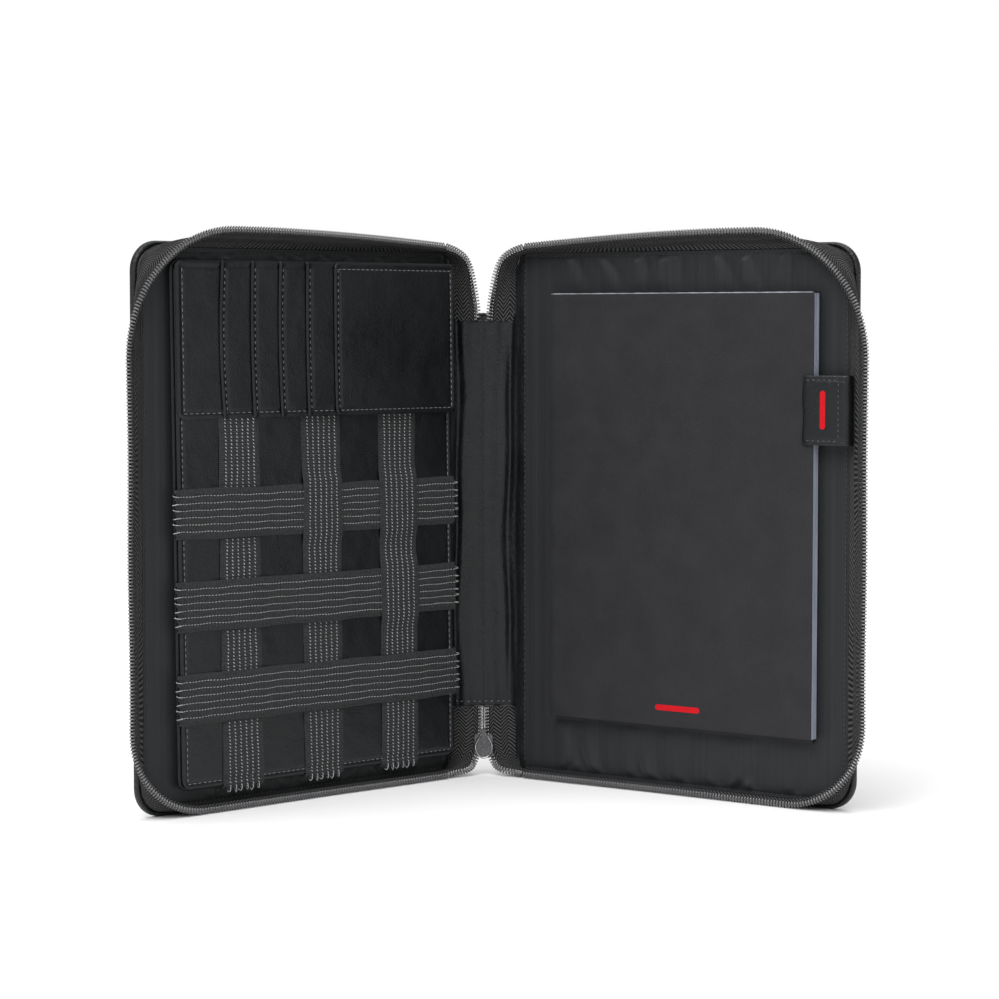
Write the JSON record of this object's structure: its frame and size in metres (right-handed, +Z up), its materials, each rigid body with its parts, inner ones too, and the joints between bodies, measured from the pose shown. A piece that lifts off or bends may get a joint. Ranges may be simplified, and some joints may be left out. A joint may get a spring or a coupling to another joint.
{
  "type": "portfolio case",
  "caption": "Zip-round leather portfolio case standing open: woven elastic organizer and card pockets on one cover, writing pad and pen loop on the other.",
  "frame": {"origin": "middle of the footprint, on the surface that the case stands on", "axes": "+X across the spine towards the cover with the pad, +Y to the back (the spine), +Z up"},
  "size_m": [0.3384, 0.1402, 0.275],
  "materials": {
    "leather": "black fine-grained leather with a soft sheen",
    "lining_cloth": "dark woven nylon lining, softly gathered",
    "zip_tape": "black herringbone zip tape",
    "zip_coil": "black moulded nylon coil with light sewing thread",
    "stiffener_board": "plain grey stiffening board, hidden",
    "foam": "soft foam core, hidden",
    "elastic": "ribbed woven elastic with rows of light thread",
    "pad_card": "matte dark grey card",
    "pad_backing": "grey backing card",
    "pad_paper": "stacked paper sheets seen edge on",
    "zip_metal": "dark plated zinc with polished edges"
  },
  "bodies": {
    "spine": {"spine_skin": "leather", "spine_reinforcement": "stiffener_board", "spine_lining": "leather", "zip_left_top_tape": "zip_tape", "zip_right_top_tape": "zip_tape", "zip_left_bottom_tape": "zip_tape", "zip_right_bottom_tape": "zip_tape", "zip_left_closed_row": "zip_coil", "zip_right_closed_row": "zip_coil"},
    "left_leaf": {"left_cover_skin": "leather", "left_cover_board": "stiffener_board", "left_hinge_facing": "leather", "left_lining": "lining_cloth", "left_edge_piping": "leather", "left_gusset_tape": "zip_tape", "left_coil_row": "zip_coil", "organizer_foam": "foam", "organizer_back_sheet": "leather", "organizer_front_sheet": "leather", "card_base": "leather", "card_pocket_1": "leather", "card_pocket_2": "leather", "card_pocket_3": "leather", "card_pocket_4": "leather", "card_front_panel": "leather", "elastic_vertical_1": "elastic", "elastic_vertical_2": "elastic", "elastic_vertical_3": "elastic", "elastic_horizontal_1": "elastic", "elastic_horizontal_2": "elastic", "elastic_horizontal_3": "elastic"},
    "right_leaf": {"right_cover_skin": "leather", "right_cover_board": "stiffener_board", "right_hinge_facing": "leather", "right_lining": "lining_cloth", "right_edge_piping": "leather", "right_gusset_tape": "zip_tape", "right_coil_row": "zip_coil", "right_pad_pocket": "lining_cloth", "pen_loop_foot": "leather"},
    "writing_pad": {"pad_backing": "pad_backing", "pad_sheets": "pad_paper", "pad_cover": "pad_card"},
    "pen_loop": {"pen_loop": "leather"},
    "zip_slider": {"zip_slider": "zip_metal"},
    "zip_pull": {"zip_pull": "zip_metal"}
  },
  "joints": [
    {"name": "left_leaf_fold", "type": "hinge", "parent": "spine", "child": "left_leaf", "pos_m": [-0.015, 0.06878, 0], "axis": [0, 0, -1], "range_deg": [-51.1, 38.9]},
    {"name": "right_leaf_fold", "type": "hinge", "parent": "spine", "child": "right_leaf", "pos_m": [0.015, 0.06878, 0], "axis": [0, 0, 1], "range_deg": [-51.1, 38.9]},
    {"name": "zip_slide", "type": "slide", "parent": "spine", "child": "zip_slider", "axis": [0, 0, 1], "range_m": [0, 0.012]},
    {"name": "zip_pull_swing", "type": "hinge", "parent": "zip_slider", "child": "zip_pull", "pos_m": [0, 0.06373, 0.0209], "axis": [-1, 0, 0], "range_deg": [0, 170]},
    {"name": "pad_slide", "type": "slide", "parent": "right_leaf", "child": "writing_pad", "axis": [0, 0, 1], "range_m": [0, 0.018]},
    {"name": "pen_loop_lift", "type": "hinge", "parent": "right_leaf", "child": "pen_loop", "pos_m": [0.16073, -0.0578, 0.1715], "axis": [0, 0, 1], "range_deg": [0, 60]}
  ]
}
